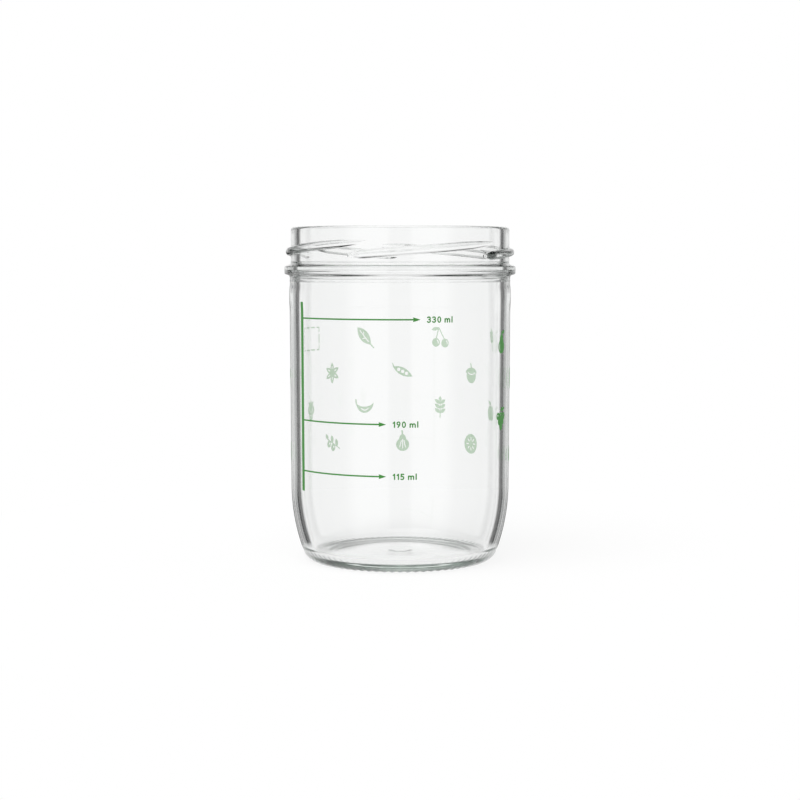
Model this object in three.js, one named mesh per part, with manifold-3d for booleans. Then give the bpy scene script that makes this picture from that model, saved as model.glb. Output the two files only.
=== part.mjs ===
// Graduated food jar: one vessel of moulded glass with a fired green enamel print on its outside.
// Millimetres, +Z up, standing ring on z = 0, axis on the origin, printed scale facing -Y.
import * as THREE from 'three';
import { mergeVertices } from 'three/addons/utils/BufferGeometryUtils.js';
import { TessellateModifier } from 'three/addons/modifiers/TessellateModifier.js';
import Module from 'manifold-3d';

// Vessel: overall height, outer wall, glass thickness
const HEIGHT = 119;
const BODY_R = 39.4;
const BODY_TAPER = 0.3;
const WALL = 3.3;
const FLOOR = 3.4;

// Foot: where the wall starts to turn in, the two arcs outside, the corner inside, the standing ring
const TURN_HEIGHT = 27;
const TURN_ARC = 70;
const HEEL_ARC = 5;
const INSIDE_CORNER = 4.5;
const STAND_WIDTH = 1.6;
const PUSH_UP = 1.2;

// Neck: steps from the wall radius, rim rounding, bead below the thread, shoulder under the bead
const NECK_STEP = 0.45;
const NECK_WALL = 3.05;
const RIM_ROUND = 0.95;
const BEAD_REACH = 2.25;
const BEAD_HEIGHT = 4.4;
const BEAD_FLAT = 2.5;
const BEAD_BELOW_RIM = 15.1;
const WAIST_STEP = 0.1;
const SHOULDER_SWELL = 0.15;
const SHOULDER_HEIGHT = 12.6;

// Lug thread: section, ends that sink into the neck
const THREAD_REACH = 1.75;
const THREAD_WIDTH = 2.8;
const THREAD_ROOT = 0.8;
const THREAD_FADE = 0.08;

// Lugs: angle of the low end, arc, low end below the rim, climb along the arc
const LUGS = [
  { from: -113, arc: 97, below: 9.8, climb: 4.4 },
  { from: -26, arc: 82, below: 10, climb: 4.3 },
  { from: 48, arc: 82, below: 10.3, climb: 3.3 },
  { from: 114, arc: 82, below: 10.1, climb: 4.2 },
  { from: 180, arc: 68, below: 10, climb: 3.5 },
];

// Enamel print: film, bar and arrows, labels, name field, motifs; angles from -Y towards +X
const INK_GAP = 0.07;
const INK_FILM = 0.15;
const BAR_ANGLE = -59.4;
const BAR_WIDTH = 1.75;
const BAR_TOP_BELOW_BEAD = 10.9;
const BAR_FOOT_GAP = 0.1;
const LINE_WIDTH = 0.52;
const HEAD_LENGTH = 2.5;
const HEAD_WIDTH = 1.65;
const LABEL_HEIGHT = 2.2;
const LABEL_GAP = 2.3;
const FIELD_WIDTH = 15;
const FIELD_HEIGHT = 8.3;
const MOTIF_SIZE = 8.3;
const MOTIF_FROM = 64;
const MOTIF_CLEAR = 30.6;
const MOTIF_TOP = 0.785;
const MOTIF_LOW = 0.18;
const MOTIFS_PER_ROW = 5;

// Stroke of a character as a share of its height
const STROKE = 0.2;

// Scale marks: label, share of the bar's height, angle of the arrow's tip
const MARKS = [
  { name: 'top', text: '330ml', share: 0.915, tip: 10 },
  { name: 'middle', text: '190ml', share: 0.378, tip: -7 },
  { name: 'low', text: '115ml', share: 0.109, tip: -7 },
];

// Facets
const ROUND_STEPS = 60;
const THREAD_STEPS = 15;
const FACET = 3.6;

// Derived heights and radii
const NECK_R = BODY_R - NECK_STEP;
const MOUTH_R = NECK_R - NECK_WALL;
const WAIST_R = BODY_R - WAIST_STEP;
const BEAD_R = NECK_R + BEAD_REACH;
const BEAD_Z = HEIGHT - BEAD_BELOW_RIM;
const BEAD_FOOT = BEAD_Z - BEAD_HEIGHT / 2;
const WALL_TOP = BEAD_FOOT - SHOULDER_HEIGHT;
const LEAN = Math.atan(BODY_TAPER / (WALL_TOP - TURN_HEIGHT));
const TURN_R = BODY_R - BODY_TAPER - TURN_ARC * Math.cos(LEAN);
const TURN_Z = TURN_HEIGHT + TURN_ARC * Math.sin(LEAN);
const BAR_FOOT = TURN_HEIGHT + BAR_FOOT_GAP;
const BAR_LENGTH = BEAD_Z - BAR_TOP_BELOW_BEAD - BAR_FOOT;

const rad = THREE.MathUtils.degToRad;
const vec = (x, y) => new THREE.Vector2(x, y);
const wasm = await Module();
wasm.setup();

// Points along an elliptic arc, angles in degrees
function arc(x, y, a, b, from, to, steps) {
  const points = [];
  for (let i = 0; i <= steps; i += 1) {
    const angle = rad(from + ((to - from) * i) / steps);
    points.push(vec(x + a * Math.cos(angle), y + b * Math.sin(angle)));
  }
  return points;
}

// A closed three.js geometry as a solid, its seams and poles merged
function solid(geometry) {
  const bare = new THREE.BufferGeometry();
  bare.setAttribute('position', geometry.getAttribute('position').clone());
  bare.setIndex(geometry.index);
  const merged = mergeVertices(bare, 1e-4);
  const index = merged.index.array;
  const faces = [];
  for (let i = 0; i < index.length; i += 3) {
    const [a, b, c] = index.slice(i, i + 3);
    if (a !== b && b !== c && c !== a) faces.push(a, b, c);
  }
  const mesh = new wasm.Mesh({
    numProp: 3,
    vertProperties: new Float32Array(merged.getAttribute('position').array),
    triVerts: new Uint32Array(faces),
  });
  return new wasm.Manifold(mesh);
}

// A solid back as a three.js geometry
function geometryOf(body) {
  const mesh = body.getMesh();
  const geometry = new THREE.BufferGeometry();
  geometry.setAttribute('position', new THREE.BufferAttribute(mesh.vertProperties, 3));
  geometry.setIndex(new THREE.BufferAttribute(mesh.triVerts, 1));
  return geometry;
}

// Each vertex of a geometry moved by a function of its three coordinates
function bend(geometry, place) {
  const position = geometry.getAttribute('position');
  for (let i = 0; i < position.count; i += 1) {
    position.setXYZ(i, ...place(position.getX(i), position.getY(i), position.getZ(i)));
  }
  return geometry;
}

// The wall turning in to a level floor: a long arc, then the corner arc that meets the floor
function turnIn(radius, corner, floor) {
  const cornerZ = floor + corner;
  const drop = TURN_Z - cornerZ;
  const reach = Math.sqrt((radius - corner) ** 2 - drop ** 2);
  const touch = THREE.MathUtils.radToDeg(Math.atan2(drop, reach));
  const long = arc(TURN_R, TURN_Z, radius, radius, THREE.MathUtils.radToDeg(-LEAN), -touch, 5);
  const short = arc(TURN_R + reach, cornerZ, corner, corner, -touch, -90, 4);
  return [...long, ...short.slice(1)];
}

// Outside of the vessel from the standing ring up to the foot of the bead
function outerWall() {
  return [
    ...turnIn(TURN_ARC, HEEL_ARC, 0).reverse(),
    vec(BODY_R, WALL_TOP),
    vec(BODY_R + SHOULDER_SWELL, WALL_TOP + SHOULDER_HEIGHT * 0.35),
    vec(BODY_R + SHOULDER_SWELL, WALL_TOP + SHOULDER_HEIGHT * 0.55),
    vec(WAIST_R, WALL_TOP + SHOULDER_HEIGHT * 0.78),
    vec(WAIST_R, BEAD_FOOT),
  ];
}

const OUTER_WALL = outerWall();

// Outer radius of the wall at a height
function wallRadius(z) {
  const above = OUTER_WALL.findIndex((point, i) => i > 0 && point.y >= z);
  const low = OUTER_WALL[above - 1];
  const high = OUTER_WALL[above];
  return THREE.MathUtils.lerp(low.x, high.x, (z - low.y) / (high.y - low.y));
}

// Hollow under the base, out to the flat standing ring
function underside() {
  const ring = OUTER_WALL[0].x - STAND_WIDTH;
  return [
    vec(0, PUSH_UP),
    vec(ring * 0.6, PUSH_UP * 0.9),
    vec(ring * 0.9, PUSH_UP * 0.5),
    vec(ring, 0),
  ];
}

// Bead with sloped shoulders, straight neck and rounded rim, from the bead's foot to the mouth
function finish() {
  const slope = (BEAD_HEIGHT - BEAD_FLAT) / 2;
  const shelf = HEIGHT - RIM_ROUND;
  return [
    vec(BEAD_R, BEAD_FOOT + slope),
    vec(BEAD_R, BEAD_FOOT + slope + BEAD_FLAT),
    vec(NECK_R, BEAD_FOOT + BEAD_HEIGHT),
    ...arc(NECK_R - RIM_ROUND, shelf, RIM_ROUND, RIM_ROUND, 0, 90, 2),
    ...arc(MOUTH_R + RIM_ROUND, shelf, RIM_ROUND, RIM_ROUND, 90, 180, 2),
  ];
}

// Inside of the vessel from the neck down to the middle of the floor
function inside() {
  return [
    vec(MOUTH_R, BEAD_Z),
    vec(BODY_R - WALL, WALL_TOP),
    ...turnIn(TURN_ARC - WALL, INSIDE_CORNER, FLOOR),
    vec(0, FLOOR),
  ];
}

// The vessel turned about its axis, axis brought upright
function vessel() {
  const profile = [...underside(), ...OUTER_WALL, ...finish(), ...inside()];
  return solid(new THREE.LatheGeometry(profile, ROUND_STEPS).rotateX(Math.PI / 2));
}

// One lug of the thread: a straight bar of rounded section bent round the neck, ends sinking into it
function lug({ from, arc: length, below, climb }) {
  const half = THREAD_WIDTH / 2;
  const crest = THREAD_ROOT + THREAD_REACH;
  const section = new THREE.Shape([
    vec(0, -half),
    vec(crest * 0.5, -half * 0.9),
    vec(crest * 0.86, -half * 0.56),
    vec(crest, 0),
    vec(crest * 0.86, half * 0.56),
    vec(crest * 0.5, half * 0.9),
    vec(0, half),
  ]);
  const bar = new THREE.ExtrudeGeometry(section, { depth: 1, steps: THREAD_STEPS, bevelEnabled: false });
  return solid(bend(bar, (x, y, t) => {
    const fade = Math.min(1, t / THREAD_FADE, (1 - t) / THREAD_FADE);
    const lift = THREE.MathUtils.lerp(0.2, 1, THREE.MathUtils.smoothstep(fade, 0, 1));
    const angle = rad(from + length * t);
    const r = NECK_R - THREAD_ROOT + x * lift;
    return [r * Math.sin(angle), -r * Math.cos(angle), HEIGHT - below + climb * t - y];
  }));
}

// Glass: vessel and lugs are one moulding
function glassJar() {
  return geometryOf(LUGS.reduce((body, row) => body.add(lug(row)), vessel()));
}

// Outline of an oval
function oval(x, y, a, b = a, steps = 12) {
  return arc(x, y, a, b, 0, 360, steps).slice(1);
}

// Outline of a leaf: two bows meeting in points at both ends
function leaf(x0, y0, x1, y1, width, steps = 4) {
  const along = vec(x1 - x0, y1 - y0);
  const across = vec(-along.y, along.x).normalize();
  const side = (sign) => (i) => {
    const t = i / steps;
    const bow = sign * width * 2 * t * (1 - t);
    return vec(x0 + along.x * t + across.x * bow, y0 + along.y * t + across.y * bow);
  };
  const there = Array.from({ length: steps }, (_, i) => side(-1)(i));
  const back = Array.from({ length: steps }, (_, i) => side(1)(steps - i));
  return [...there, ...back];
}

// Outline of a stroke of even width along a path, ends rounded
function stroke(path, width) {
  const half = width / 2;
  const left = [];
  const right = [];
  path.forEach((point, i) => {
    const before = path[Math.max(i - 1, 0)];
    const after = path[Math.min(i + 1, path.length - 1)];
    const turn = Math.atan2(after.y - before.y, after.x - before.x);
    left.push(vec(point.x - half * Math.sin(turn), point.y + half * Math.cos(turn)));
    right.push(vec(point.x + half * Math.sin(turn), point.y - half * Math.cos(turn)));
  });
  const cap = (from, to, end) => {
    const turn = THREE.MathUtils.radToDeg(Math.atan2(end.y - from.y, end.x - from.x));
    return arc(end.x, end.y, half, half, turn + to, turn - to, 2).slice(1, -1);
  };
  const tip = cap(path[path.length - 2], -90, path[path.length - 1]);
  const tail = cap(path[1], -90, path[0]);
  return [...right, ...tip, ...left.reverse(), ...tail];
}

// Outline of a straight stroke
function line(x0, y0, x1, y1, width) {
  return stroke([vec(x0, y0), vec(x1, y1)], width);
}

// Outline of a dome with a level foot
function dome(x, y, a, b) {
  return arc(x, y, a, b, 0, 180, 10);
}

// Outline of a wedge of a slice, between two radii and two angles
function wedge(inner, outer, from, to) {
  return [...arc(0, 0, outer, outer, from, to, 3), ...arc(0, 0, inner, inner, to, from, 1)];
}

// Outlines joined into one flat plate, less the bare lines left in it
function plate(outlines, bare = []) {
  const cut = (outline, depth) => {
    return new THREE.ExtrudeGeometry(new THREE.Shape(outline), { depth, bevelEnabled: false });
  };
  const film = outlines.map((outline) => solid(cut(outline, 1)));
  const holes = bare.map((outline) => solid(cut(outline, 2).translate(0, 0, -0.5)));
  const joined = film.reduce((body, piece) => body.add(piece));
  return geometryOf(holes.reduce((body, hole) => body.subtract(hole), joined));
}

// Flat film laid round the wall
function lay(film, angle, height) {
  return bend(film, (x, y, depth) => {
    const z = height + y;
    const turn = rad(angle) + x / BODY_R;
    const r = wallRadius(z) + INK_GAP + INK_FILM * depth;
    return [r * Math.sin(turn), -r * Math.cos(turn), z];
  });
}

// A flat plate scaled, cut into small facets and laid round the wall
function wrap(flat, scale, angle, height) {
  const cutter = new TessellateModifier(FACET, 12);
  flat.scale(scale, scale, 1);
  return lay(mergeVertices(cutter.modify(flat), 1e-4), angle, height);
}

// Glyphs, one cap height tall, left edge and baseline at zero, with the width each takes
const GLYPHS = {
  0: () => ({ width: 0.64, ink: [oval(0.32, 0.5, 0.32, 0.5)], bare: [oval(0.32, 0.5, 0.13, 0.31, 12)] }),
  1: () => ({ width: 0.4, ink: [line(0.3, 0.1, 0.3, 0.9, STROKE), line(0.1, 0.72, 0.3, 0.9, STROKE)] }),
  3: () => ({
    width: 0.62,
    ink: [stroke(arc(0.28, 0.71, 0.22, 0.19, 150, -90, 8), STROKE),
      stroke(arc(0.28, 0.32, 0.24, 0.22, 90, -150, 8), STROKE)],
  }),
  5: () => ({
    width: 0.62,
    ink: [line(0.14, 0.9, 0.52, 0.9, STROKE),
      line(0.14, 0.9, 0.12, 0.5, STROKE),
      stroke(arc(0.26, 0.34, 0.26, 0.24, 125, -130, 8), STROKE)],
  }),
  9: () => ({
    width: 0.62,
    ink: [oval(0.31, 0.69, 0.31, 0.31), stroke([vec(0.52, 0.66), vec(0.46, 0.4), vec(0.24, 0.1)], STROKE)],
    bare: [oval(0.31, 0.69, 0.12, 0.12, 10)],
  }),
  m: () => ({
    width: 0.98,
    ink: [line(0.1, 0.1, 0.1, 0.6, STROKE),
      stroke([vec(0.1, 0.44), ...arc(0.3, 0.44, 0.19, 0.17, 150, 0, 5), vec(0.49, 0.1)], STROKE),
      stroke([vec(0.49, 0.44), ...arc(0.69, 0.44, 0.19, 0.17, 150, 0, 5), vec(0.88, 0.1)], STROKE)],
  }),
  l: () => ({ width: 0.2, ink: [line(0.1, 0.1, 0.1, 0.92, STROKE)] }),
};

// Outlines repeated round a middle, one to each even turn
function around(count, outline) {
  return Array.from({ length: count }, (_, i) => outline((360 / count) * i));
}

// Outline of a stroke along a radius at a turn from upright
function spoke(from, to, turn, width) {
  const x = Math.sin(rad(turn));
  const y = Math.cos(rad(turn));
  return line(from * x, from * y, to * x, to * y, width);
}

// Motifs of plain fruit, nuts and herbs, within one unit of their middle: ink, then bare lines in it
const MOTIFS = {
  pear: () => plate(
    [
      oval(0, -0.36, 0.6, 0.58),
      oval(0, 0.2, 0.35, 0.5),
      line(0, 0.6, 0.1, 0.94, 0.12),
      leaf(0.06, 0.74, 0.66, 0.96, 0.26),
    ],
    [stroke(arc(0, -0.36, 0.4, 0.38, 150, 225, 4), 0.1)],
  ),
  wheat_ear: () => plate([
    line(-0.3, -1, 0.05, 0.6, 0.1),
    ...[-0.35, -0.02, 0.31].map((y) => leaf(y * 0.22 - 0.08, y, y * 0.22 - 0.48, y + 0.44, 0.26)),
    ...[-0.35, -0.02, 0.31].map((y) => leaf(y * 0.22 - 0.08, y, y * 0.22 + 0.42, y + 0.36, 0.26)),
    leaf(0.03, 0.5, 0.16, 1, 0.26),
  ]),
  cherries: () => plate(
    [
      oval(-0.5, -0.55, 0.4),
      oval(0.46, -0.5, 0.4),
      line(-0.5, -0.3, 0.16, 0.84, 0.1),
      line(0.46, -0.2, 0.16, 0.84, 0.1),
      leaf(0.12, 0.84, 0.92, 0.66, 0.32),
    ],
    [
      stroke(arc(-0.5, -0.55, 0.24, 0.24, 120, 200, 3), 0.09),
      stroke(arc(0.46, -0.5, 0.24, 0.24, 120, 200, 3), 0.09),
    ],
  ),
  basil_leaf: () => plate(
    [leaf(-0.66, -0.72, 0.74, 0.9, 0.95, 8), line(-0.94, -1, -0.6, -0.64, 0.12)],
    [
      line(-0.4, -0.42, 0.46, 0.58, 0.09),
      line(-0.12, -0.1, 0.2, -0.16, 0.08),
      line(0.12, 0.18, 0.1, 0.46, 0.08),
    ],
  ),
  lemon_slice: () => plate(
    [oval(0, 0, 0.92, 0.92, 24)],
    around(6, (turn) => wedge(0.2, 0.72, turn + 7, turn + 53)),
  ),
  hazelnut: () => plate(
    [oval(0, -0.2, 0.66, 0.7), dome(0, 0.02, 0.78, 0.5), line(0, 0.45, 0.1, 0.86, 0.14)],
    [stroke(arc(0, 0.3, 0.6, 0.4, 215, 325, 5), 0.09)],
  ),
  pea_pod: () => plate(
    [leaf(-0.96, -0.46, 0.96, 0.46, 0.72, 8), line(0.86, 0.42, 0.98, 0.74, 0.1)],
    [-0.38, 0, 0.38].map((x) => oval(x, x * 0.48, 0.16, 0.16, 10)),
  ),
  star_anise: () => plate(
    [
      oval(0, 0, 0.26),
      ...around(6, (turn) => leaf(0, 0, 0.96 * Math.sin(rad(turn)), 0.96 * Math.cos(rad(turn)), 0.44)),
    ],
    around(6, (turn) => spoke(0.4, 0.6, turn, 0.1)),
  ),
  mushroom: () => plate(
    [dome(0, 0.02, 0.92, 0.78), oval(0, -0.38, 0.3, 0.56)],
    [oval(-0.44, 0.32, 0.14, 0.11, 10), oval(0.06, 0.5, 0.15, 0.12, 10), oval(0.5, 0.25, 0.12, 0.1, 10)],
  ),
  grapes: () => plate(
    [
      ...[-0.52, 0, 0.52].map((x) => oval(x, 0.18, 0.32)),
      ...[-0.27, 0.27].map((x) => oval(x, -0.28, 0.32)),
      oval(0, -0.7, 0.3),
      line(0, 0.4, 0.06, 0.92, 0.1),
      leaf(0.03, 0.66, 0.78, 0.86, 0.32),
    ],
    [-0.58, -0.06, 0.46].map((x) => oval(x, 0.24, 0.08, 0.08, 8)),
  ),
  apple: () => plate(
    [
      oval(-0.26, -0.18, 0.5, 0.66),
      oval(0.26, -0.18, 0.5, 0.66),
      line(0, 0.3, 0.06, 0.8, 0.12),
      leaf(0.04, 0.56, 0.66, 0.9, 0.3),
    ],
    [stroke(arc(-0.26, -0.18, 0.32, 0.46, 125, 215, 4), 0.1)],
  ),
  herb_sprig: () => plate([
    line(0, -0.98, 0, 0.6, 0.1),
    ...[-0.56, -0.14, 0.28].map((y) => leaf(0, y, -0.56, y + 0.4, 0.34)),
    ...[-0.56, -0.14, 0.28].map((y) => leaf(0, y, 0.56, y + 0.4, 0.34)),
    leaf(0, 0.46, 0, 0.98, 0.3),
  ]),
  banana: () => plate(
    [
      [...arc(0, 0.5, 0.94, 1.08, 190, 350, 10), ...arc(0, 0.5, 0.92, 0.5, 345, 195, 10)],
      line(0.9, 0.3, 0.94, 0.66, 0.14),
    ],
    [stroke(arc(0, 0.5, 0.6, 0.82, 235, 305, 5), 0.09)],
  ),
  strawberry: () => plate(
    [
      oval(-0.26, 0.08, 0.5, 0.46),
      oval(0.26, 0.08, 0.5, 0.46),
      oval(0, -0.38, 0.44, 0.58),
      leaf(0, 0.36, -0.62, 0.82, 0.3),
      leaf(0, 0.36, 0, 0.98, 0.3),
      leaf(0, 0.36, 0.62, 0.82, 0.3),
    ],
    [
      ...[-0.36, 0.36].map((x) => oval(x, 0.1, 0.07, 0.1, 8)),
      ...[-0.2, 0.2].map((x) => oval(x, -0.42, 0.07, 0.1, 8)),
      oval(0, -0.1, 0.07, 0.1, 8),
    ],
  ),
  bean: () => plate(
    [stroke(arc(0, -0.5, 0.6, 0.66, 5, 175, 10), 0.66)],
    [stroke(arc(0, -0.5, 0.72, 0.78, 60, 130, 4), 0.1)],
  ),
  kiwi_slice: () => plate(
    [oval(0, 0, 0.9, 0.9, 24)],
    around(8, (turn) => spoke(0.36, 0.56, turn, 0.11)),
  ),
  fig: () => plate(
    [oval(0, -0.36, 0.64, 0.6), oval(0, 0.14, 0.34, 0.46), line(0, 0.5, 0.06, 0.9, 0.16)],
    [line(-0.28, -0.6, -0.13, 0, 0.08), line(0, -0.7, 0, 0.1, 0.08), line(0.28, -0.6, 0.13, 0, 0.08)],
  ),
  olive_twig: () => plate(
    [
      line(-0.9, -0.5, 0.8, 0.5, 0.09),
      oval(-0.06, -0.36, 0.28, 0.34),
      oval(0.5, -0.02, 0.26, 0.32),
      leaf(-0.6, -0.32, -0.44, 0.42, 0.36),
      leaf(0, 0.03, 0.14, 0.76, 0.36),
      leaf(0.6, 0.38, 0.98, 0.92, 0.32),
    ],
    [oval(-0.14, -0.3, 0.07, 0.1, 8), oval(0.42, 0.02, 0.07, 0.1, 8)],
  ),
  egg_half: () => plate(
    [oval(0, -0.16, 0.68, 0.7, 20), oval(0, 0.14, 0.56, 0.76, 20)],
    [stroke(arc(0, -0.16, 0.36, 0.36, 30, 330, 12), 0.1)],
  ),
};

const root = new THREE.Group();
root.name = 'graduated_jar';

// A named mesh of one material
function add(name, geometry, material) {
  const mesh = new THREE.Mesh(geometry, material);
  mesh.name = name;
  root.add(mesh);
}

// Clear glass with a faint green cast
function glass() {
  const look = { color: 0xdfe9e4, roughness: 0.05, transparent: true, opacity: 0.35 };
  return new THREE.MeshStandardMaterial(look);
}

// Fired green enamel
function enamel() {
  return new THREE.MeshStandardMaterial({ color: 0x3a8c32, roughness: 0.35 });
}

// Angle, in degrees, that a length takes round the wall
function degrees(length) {
  return THREE.MathUtils.radToDeg(length / BODY_R);
}

// A straight strip of film laid round the wall, its half width given at each stop along it
function strip(stops, upright, angle, height) {
  const section = new THREE.Shape([vec(-1, 0), vec(1, 0), vec(1, 1), vec(-1, 1)]);
  const steps = stops.length - 1;
  const flat = new THREE.ExtrudeGeometry(section, { depth: steps, steps, bevelEnabled: false });
  bend(flat, (side, depth, stop) => {
    const { at, half } = stops[Math.round(stop)];
    return upright ? [-side * half, at, depth] : [at, side * half, depth];
  });
  return lay(geometryOf(solid(flat)), angle, height);
}

// Stops at an even pitch from one place along a strip to another
function even(from, to, half) {
  const count = Math.ceil((to - from) / FACET);
  return Array.from({ length: count + 1 }, (_, i) => ({ at: from + ((to - from) * i) / count, half }));
}

// Upright bar the scale hangs from
function addBar() {
  const half = BAR_WIDTH / 2;
  add('scale_bar', strip(even(0, BAR_LENGTH, half), true, BAR_ANGLE, BAR_FOOT), enamel());
}

// Arrow from the bar to its tip, printed a hair clear of the bar
function addArrow(mark) {
  const start = BAR_WIDTH / 2 + INK_GAP;
  const tip = rad(mark.tip - BAR_ANGLE) * BODY_R;
  const neck = tip - HEAD_LENGTH;
  const half = LINE_WIDTH / 2;
  const shaft = even(start, neck, half);
  const head = [{ at: neck + INK_FILM, half: HEAD_WIDTH / 2 }, { at: tip, half: half / 4 }];
  const height = BAR_FOOT + BAR_LENGTH * mark.share;
  add(`scale_arrow_${mark.name}`, strip([...shaft, ...head], false, BAR_ANGLE, height), enamel());
}

// Volume beside an arrow, one node to each character
function addLabel(mark) {
  const height = BAR_FOOT + BAR_LENGTH * mark.share - LABEL_HEIGHT / 2;
  let along = LABEL_GAP;
  [...mark.text].forEach((character, i) => {
    const glyph = GLYPHS[character]();
    const name = `scale_label_${mark.name}_${i + 1}`;
    if (character === 'm') along += LABEL_HEIGHT * 0.35;
    const film = wrap(plate(glyph.ink, glyph.bare), LABEL_HEIGHT, mark.tip + degrees(along), height);
    add(name, film, enamel());
    along += LABEL_HEIGHT * (glyph.width + 0.2);
  });
}

// Dashed field to write on: four corners, two dashes above and below, one at each end
function addNameField(angle, height) {
  const half = FIELD_WIDTH / 2;
  const tall = FIELD_HEIGHT / 2;
  const dash = half / 5;
  const corner = (x, y) => {
    const elbow = vec(x * half, y * tall);
    return stroke([vec(elbow.x, y * (tall - dash)), elbow, vec(x * (half - dash), elbow.y)], LINE_WIDTH);
  };
  const level = (x, y) => line(x - dash, y * tall, x + dash, y * tall, LINE_WIDTH);
  const upright = (x) => line(x * half, -dash, x * half, dash, LINE_WIDTH);
  const dashes = [
    ...[-1, 1].flatMap((x) => [corner(x, -1), corner(x, 1)]),
    ...[-0.34, 0.34].flatMap((share) => [level(half * share, -1), level(half * share, 1)]),
    ...[-1, 1].map(upright),
  ];
  dashes.forEach((outline, i) => {
    add(`name_field_dash_${i + 1}`, wrap(plate([outline]), 1, angle, height), enamel());
  });
}

// Motifs in staggered rows round the back; the last place of the first row holds the name field
function addMotifs() {
  const names = Object.keys(MOTIFS);
  names.splice(MOTIFS_PER_ROW - 1, 0, 'name_field');
  const rows = Math.ceil(names.length / MOTIFS_PER_ROW);
  const step = (360 + BAR_ANGLE - MOTIF_CLEAR - MOTIF_FROM) / (MOTIFS_PER_ROW - 0.5);
  names.forEach((name, i) => {
    const row = Math.floor(i / MOTIFS_PER_ROW);
    const share = THREE.MathUtils.lerp(MOTIF_TOP, MOTIF_LOW, row / (rows - 1));
    const height = BAR_FOOT + BAR_LENGTH * share;
    const angle = MOTIF_FROM + step * ((i % MOTIFS_PER_ROW) + (row % 2) / 2);
    if (name === 'name_field') {
      addNameField(angle, height);
    } else {
      add(`motif_${name}`, wrap(MOTIFS[name](), MOTIF_SIZE / 2, angle, height), enamel());
    }
  });
}

add('glass_jar', glassJar(), glass());
addBar();
MARKS.forEach(addArrow);
MARKS.forEach(addLabel);
addMotifs();

export default root;
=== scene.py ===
import math

import bpy
import numpy as np
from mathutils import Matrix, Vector
from mathutils.geometry import delaunay_2d_cdt


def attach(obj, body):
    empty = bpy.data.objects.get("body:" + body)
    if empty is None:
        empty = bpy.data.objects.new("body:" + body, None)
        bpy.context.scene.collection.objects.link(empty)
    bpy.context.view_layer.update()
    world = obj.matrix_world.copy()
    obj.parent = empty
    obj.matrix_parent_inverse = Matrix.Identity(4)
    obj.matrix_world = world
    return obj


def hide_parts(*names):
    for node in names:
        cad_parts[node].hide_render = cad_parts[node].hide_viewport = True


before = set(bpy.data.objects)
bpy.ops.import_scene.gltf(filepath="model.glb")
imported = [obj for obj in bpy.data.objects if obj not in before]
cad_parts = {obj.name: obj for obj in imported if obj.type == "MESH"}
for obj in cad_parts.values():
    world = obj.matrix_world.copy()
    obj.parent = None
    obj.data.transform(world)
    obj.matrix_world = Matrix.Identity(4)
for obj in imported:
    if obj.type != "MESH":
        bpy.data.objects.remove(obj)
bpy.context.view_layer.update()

# Camera
# A long lens stands level with the bead, a little over half a metre away, and is tipped down towards the
# middle of the jar, so the rim shows its edge from just below and the jar's floor opens as a flat ellipse.
EYE_DISTANCE, EYE_HEIGHT, TIPPED_DOWN = 0.6253, 0.1066, 4.51
SENSOR_WIDTH, LENS = 36.0, 78.5
scene = bpy.context.scene
scene.view_settings.view_transform = "Standard"
camera = bpy.data.objects.new("camera", bpy.data.cameras.new("camera"))
camera.data.sensor_width = SENSOR_WIDTH
camera.data.lens = LENS
camera.location = (0.0, -EYE_DISTANCE, EYE_HEIGHT)
camera.rotation_euler = (math.radians(90.0 - TIPPED_DOWN), 0.0, 0.0)
scene.collection.objects.link(camera)
scene.camera = camera

# Glass jar
# One pressed-and-blown moulding of clear soda-lime glass: hollowed base, knurled standing ring, rounded heel,
# slightly tapered wall, faint shoulder, mould seam, bead, neck with five lugs of a twist-off thread, and a
# fire-polished rim. Sizes are in millimetres, and angles in degrees round from the front.
MM = 0.001
HEIGHT, BODY_R, BODY_TAPER, WALL, FLOOR, FLOOR_CROWN = 119.0, 39.4, 0.3, 3.3, 3.4, 0.2
TURN_HEIGHT, TURN_ARC, HEEL_ARC, INSIDE_CORNER = 27.0, 70.0, 5.0, 4.5
STAND_WIDTH, PUSH_UP, PUSH_UP_POWER = 1.6, 1.2, 6
BOSS_DROP, BOSS_FOOT_R, BOSS_SLOPE, BOSS_ZONE, PLAIN_ZONE = 0.25, 4.1, 0.6, 8.0, 10.0
KNURLS, KNURL_DEPTH, KNURL_TOP, KNURL_FADE = 72, 0.3, 1.6, 1.4
KNURL_INWARD, KNURL_INWARD_FADE = 2.0, 1.5
WALL_TOP, SWELL, SWELL_RISE = 89.1, 0.15, 4.5
WAIST_R, WAIST_FROM, WAIST_FALL, WAIST_TOP = 39.3, 96.2, 3.2, 100.9
SEAM_Z, SEAM_HEIGHT, SEAM_HALF, SEAM_REACH = 100.25, 0.13, 0.18, 0.4
BEAD_R, BEAD_Z, BEAD_HALF, BEAD_REACH, BEAD_POWER = 41.2, 103.9, 1.73, 2.9, 10
NECK_R, MOUTH_R, RIM_ROUND, RIM_CLEAR = 38.95, 35.9, 0.95, 1.5
INNER_RING_Z, INNER_RING_DEPTH, INNER_RING_HALF, INNER_RING_REACH = 103.25, 0.3, 0.4, 1.1
LUG_REACH, LUG_HALF, LUG_NOSE, LUG_TAIL = 1.75, 1.4, 7.0, 22.0
LUG_SLIM, LUG_POWER, LUG_ROUND, LUG_BEFORE = 0.4, 2.8, 0.6, 20.0
COLUMNS = 288

# Rows of points up the neck, from, to and how many: close together where the lugs are.
NECK_ROWS = ((106.9, 107.2, 3), (107.28, 114.9, 88), (115.2, 118.0, 5))

# Lugs as the photograph shows them: angle of the low end, arc, height of the low end, climb.
LUGS = (
    (-113.0, 97.0, 109.2, 4.4), (-26.0, 82.0, 109.0, 4.3), (48.0, 82.0, 108.7, 3.3),
    (114.0, 82.0, 108.9, 4.2), (180.0, 68.0, 109.0, 3.5),
)


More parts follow.
